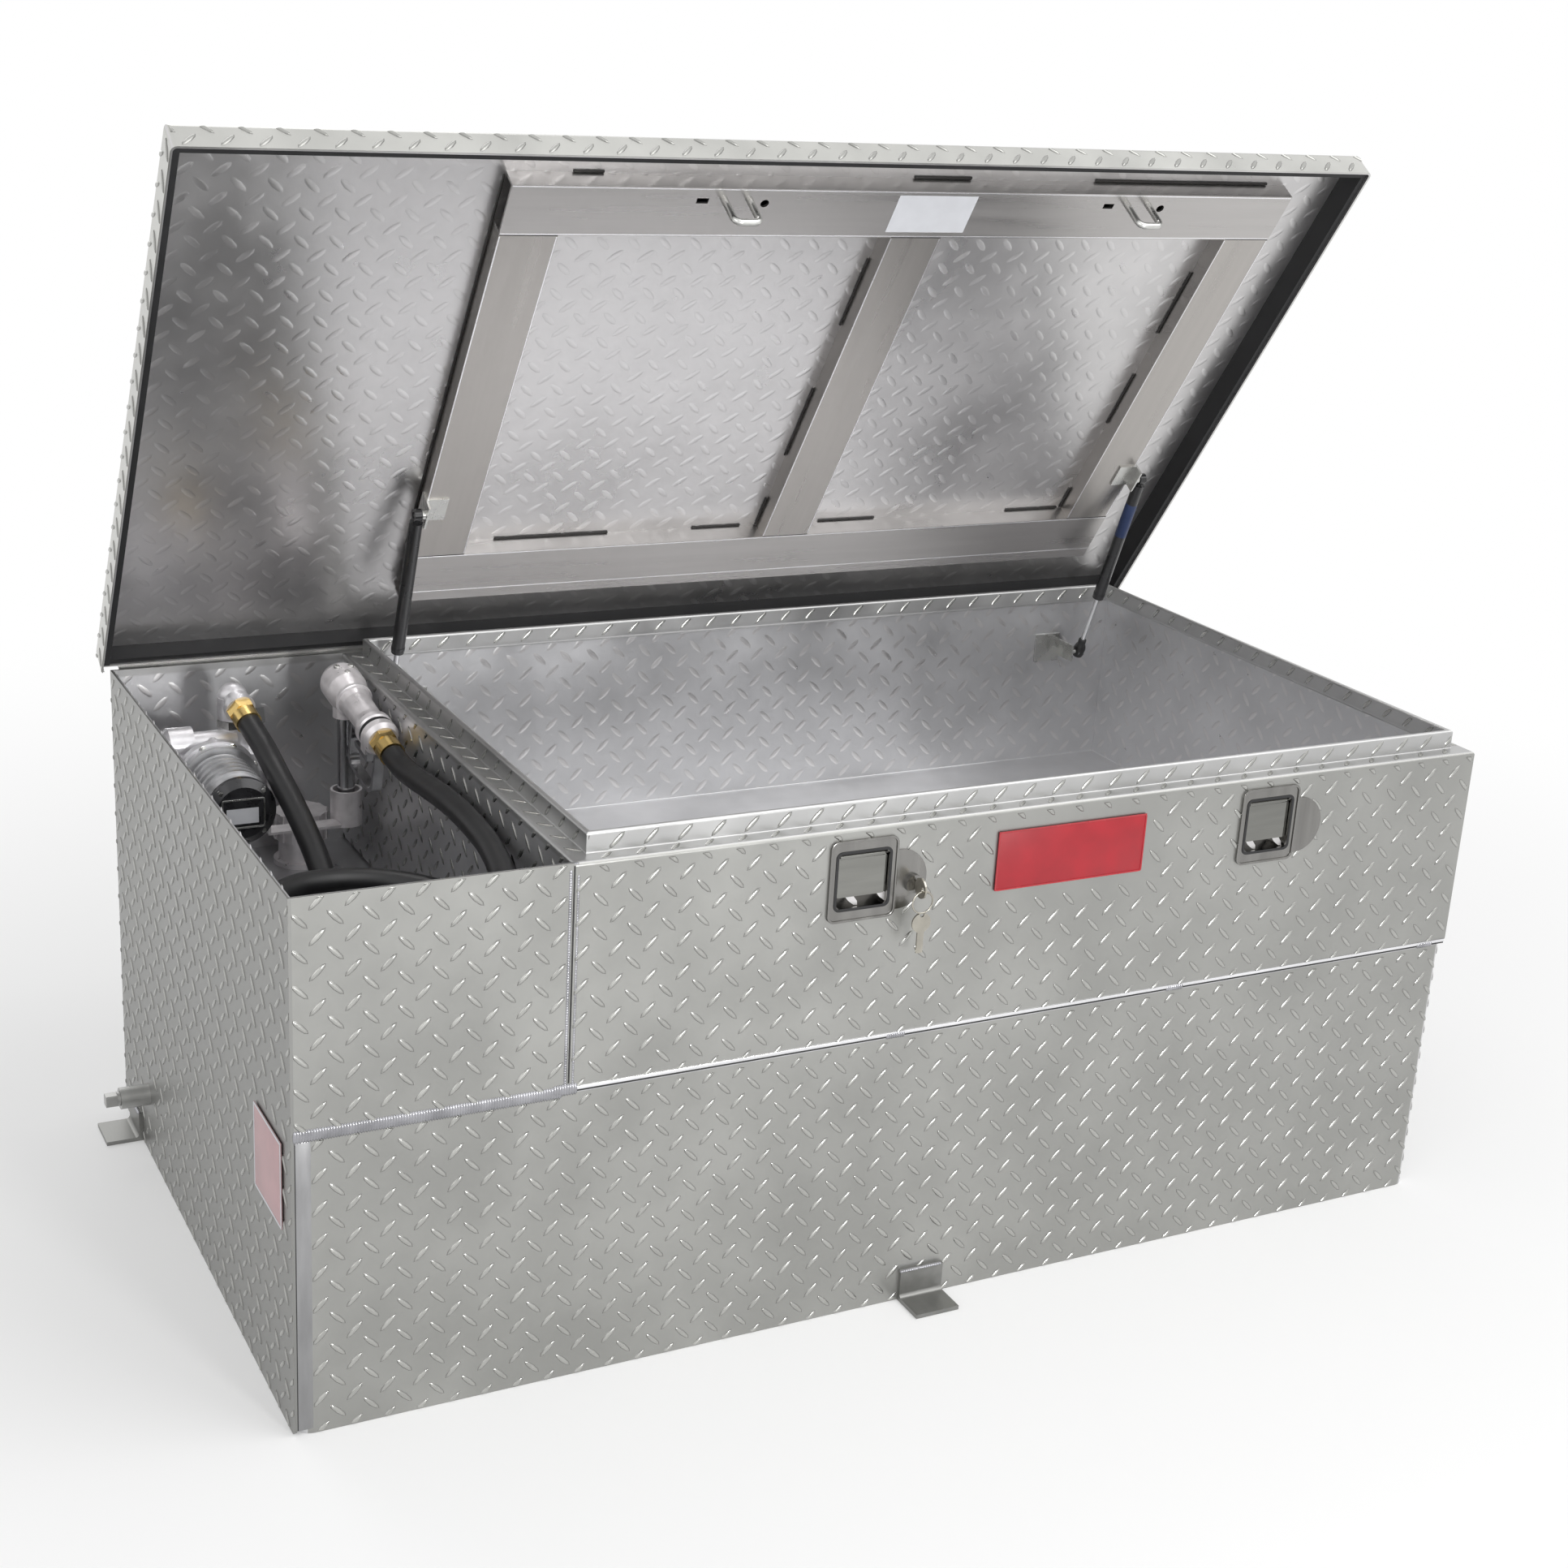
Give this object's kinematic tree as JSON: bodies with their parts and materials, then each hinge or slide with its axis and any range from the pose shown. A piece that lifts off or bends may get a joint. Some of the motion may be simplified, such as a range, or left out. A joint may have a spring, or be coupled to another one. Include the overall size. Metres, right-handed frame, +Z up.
{
  "type": "truck bed transfer tank",
  "caption": "Aluminium truck bed fuel transfer tank with a toolbox and an open pump bay on top, under one long hinged lid that stands open",
  "frame": {"origin": "middle of the tank's underside, on the ground plane", "axes": "+X along the tank's length to the right as seen from the latch side, +Y to the hinge side, +Z up"},
  "size_m": [1.517, 0.844, 1.2216],
  "materials": {
    "tread_plate": "satin",
    "plain_aluminium": "satin",
    "frame_channel": "satin",
    "zinc_steel": "satin",
    "stainless": "satin",
    "keys": "gloss",
    "seal_rubber": "matte",
    "hose_rubber": "satin",
    "black_paint": "satin",
    "rod_chrome": "gloss",
    "cast_grey": "matte",
    "spout_steel": "satin",
    "brass": "satin",
    "black_plastic": "matte"
  },
  "bodies": {
    "tank": {"tank_shell": "tread_plate", "tank_top_plate": "plain_aluminium", "tank_baffles": "plain_aluminium", "left_end_plate": "tread_plate", "bay_front_panel": "tread_plate", "bay_rear_panel": "tread_plate", "toolbox_shell": "tread_plate", "mounting_tabs": "plain_aluminium", "drain_coupling": "plain_aluminium", "drain_plug": "plain_aluminium", "hinge_leaf_box": "plain_aluminium", "hinge_pin": "zinc_steel", "latch_pan_left": "stainless", "latch_pan_right": "stainless", "strut_box_brackets": "zinc_steel", "tank_bung": "plain_aluminium", "pump_body": "cast_grey", "pump_motor": "black_paint", "pump_motor_cover": "black_paint", "suction_tube": "plain_aluminium", "outlet_union": "cast_grey", "outlet_elbow": "cast_grey", "hose_fitting": "brass", "filler_neck": "plain_aluminium", "nozzle_holder": "zinc_steel", "nozzle_body": "cast_grey", "nozzle_spout": "spout_steel", "nozzle_guard": "cast_grey", "nozzle_swivel": "brass", "hose_pump_end": "hose_rubber", "hose_coil": "hose_rubber", "hose_nozzle_end": "hose_rubber"},
    "lid": {"lid_skin": "tread_plate", "lid_seal": "seal_rubber", "lid_front_rail": "frame_channel", "lid_rear_rail": "frame_channel", "lid_left_stile": "frame_channel", "lid_middle_stile": "frame_channel", "lid_right_stile": "frame_channel", "lid_strikers": "zinc_steel", "hinge_leaf_lid": "plain_aluminium", "strut_lid_brackets": "zinc_steel"},
    "left_tube": {"strut_tube_left": "black_paint"},
    "right_tube": {"strut_tube_right": "black_paint"},
    "left_rod": {"strut_rod_left": "rod_chrome"},
    "right_rod": {"strut_rod_right": "rod_chrome"},
    "left_paddle": {"latch_paddle_left": "stainless"},
    "right_paddle": {"latch_paddle_right": "stainless"},
    "left_jaw": {"latch_jaw_left": "zinc_steel"},
    "right_jaw": {"latch_jaw_right": "zinc_steel"},
    "lock": {"lock_plug": "keys", "lock_key": "keys", "spare_key_on_ring": "keys"},
    "nozzle_trigger": {"nozzle_lever": "cast_grey"},
    "pump_switch": {"pump_switch_lever": "black_plastic"},
    "fuel_cap": {"filler_cap": "black_plastic"},
    "rotor": {"pump_rotor": "zinc_steel", "pump_vanes": "black_plastic"}
  },
  "joints": [
    {"name": "lid_hinge", "type": "hinge", "parent": "tank", "child": "lid", "pos_m": [0, 0.382, 0.565], "axis": [1, 0, 0], "range_deg": [0, 56], "stiffness_Nm_per_rad": 34, "springref_deg": -57.3},
    {"name": "left_tube_pivot", "type": "hinge", "parent": "lid", "child": "left_tube", "pos_m": [-0.381, 0.24415, 0.77116], "axis": [1, 0, 0], "range_deg": [-3.99, 0]},
    {"name": "right_tube_pivot", "type": "hinge", "parent": "lid", "child": "right_tube", "pos_m": [0.646, 0.24415, 0.77116], "axis": [1, 0, 0], "range_deg": [-3.99, 0]},
    {"name": "left_rod_slide", "type": "slide", "parent": "left_tube", "child": "left_rod", "axis": [0, 0.3546, -0.935], "range_m": [-0.06702, 0]},
    {"name": "right_rod_slide", "type": "slide", "parent": "right_tube", "child": "right_rod", "axis": [0, 0.3546, -0.935], "range_m": [-0.06702, 0]},
    {"name": "left_paddle_pull", "type": "hinge", "parent": "tank", "child": "left_paddle", "pos_m": [-0.111, -0.3735, 0.54], "axis": [-1, 0, 0], "range_deg": [0, 40], "stiffness_Nm_per_rad": 0.2, "springref_deg": -5.73},
    {"name": "right_paddle_pull", "type": "hinge", "parent": "tank", "child": "right_paddle", "pos_m": [0.412, -0.3735, 0.54], "axis": [-1, 0, 0], "range_deg": [0, 40], "stiffness_Nm_per_rad": 0.2, "springref_deg": -5.73},
    {"name": "left_jaw_turn", "type": "hinge", "parent": "tank", "child": "left_jaw", "pos_m": [-0.111, -0.328, 0.525], "axis": [1, 0, 0], "range_deg": [0, 70], "stiffness_Nm_per_rad": 0.1, "springref_deg": -5.73},
    {"name": "right_jaw_turn", "type": "hinge", "parent": "tank", "child": "right_jaw", "pos_m": [0.412, -0.328, 0.525], "axis": [1, 0, 0], "range_deg": [0, 70], "stiffness_Nm_per_rad": 0.1, "springref_deg": -5.73},
    {"name": "lock_turn", "type": "hinge", "parent": "tank", "child": "lock", "pos_m": [-0.051, -0.378, 0.504], "axis": [0, -1, 0], "range_deg": [0, 90]},
    {"name": "trigger_squeeze", "type": "hinge", "parent": "tank", "child": "nozzle_trigger", "pos_m": [-0.45583, 0.18985, 0.51052], "axis": [0.998, 0.0628, 0], "range_deg": [0, 18], "stiffness_Nm_per_rad": 0.3, "springref_deg": -11.46},
    {"name": "switch_throw", "type": "hinge", "parent": "tank", "child": "pump_switch", "pos_m": [-0.5637, 0.268, 0.474], "axis": [1, 0, 0], "range_deg": [0, 40]},
    {"name": "cap_turn", "type": "hinge", "parent": "tank", "child": "fuel_cap", "pos_m": [-0.503, 0.314, 0.382], "axis": [0, 0, 1], "range_deg": [0, 90]},
    {"name": "rotor_spin", "type": "hinge", "parent": "tank", "child": "rotor", "pos_m": [-0.624, 0.258, 0.474], "axis": [0, 1, 0], "continuous": true}
  ],
  "couplings": [
    {"joint": "left_tube_pivot", "follows": "lid_hinge", "ratio": -0.07121},
    {"joint": "right_tube_pivot", "follows": "lid_hinge", "ratio": -0.07121},
    {"joint": "left_rod_slide", "follows": "lid_hinge", "m_per_rad": -0.068571},
    {"joint": "right_rod_slide", "follows": "lid_hinge", "m_per_rad": -0.068571}
  ]
}
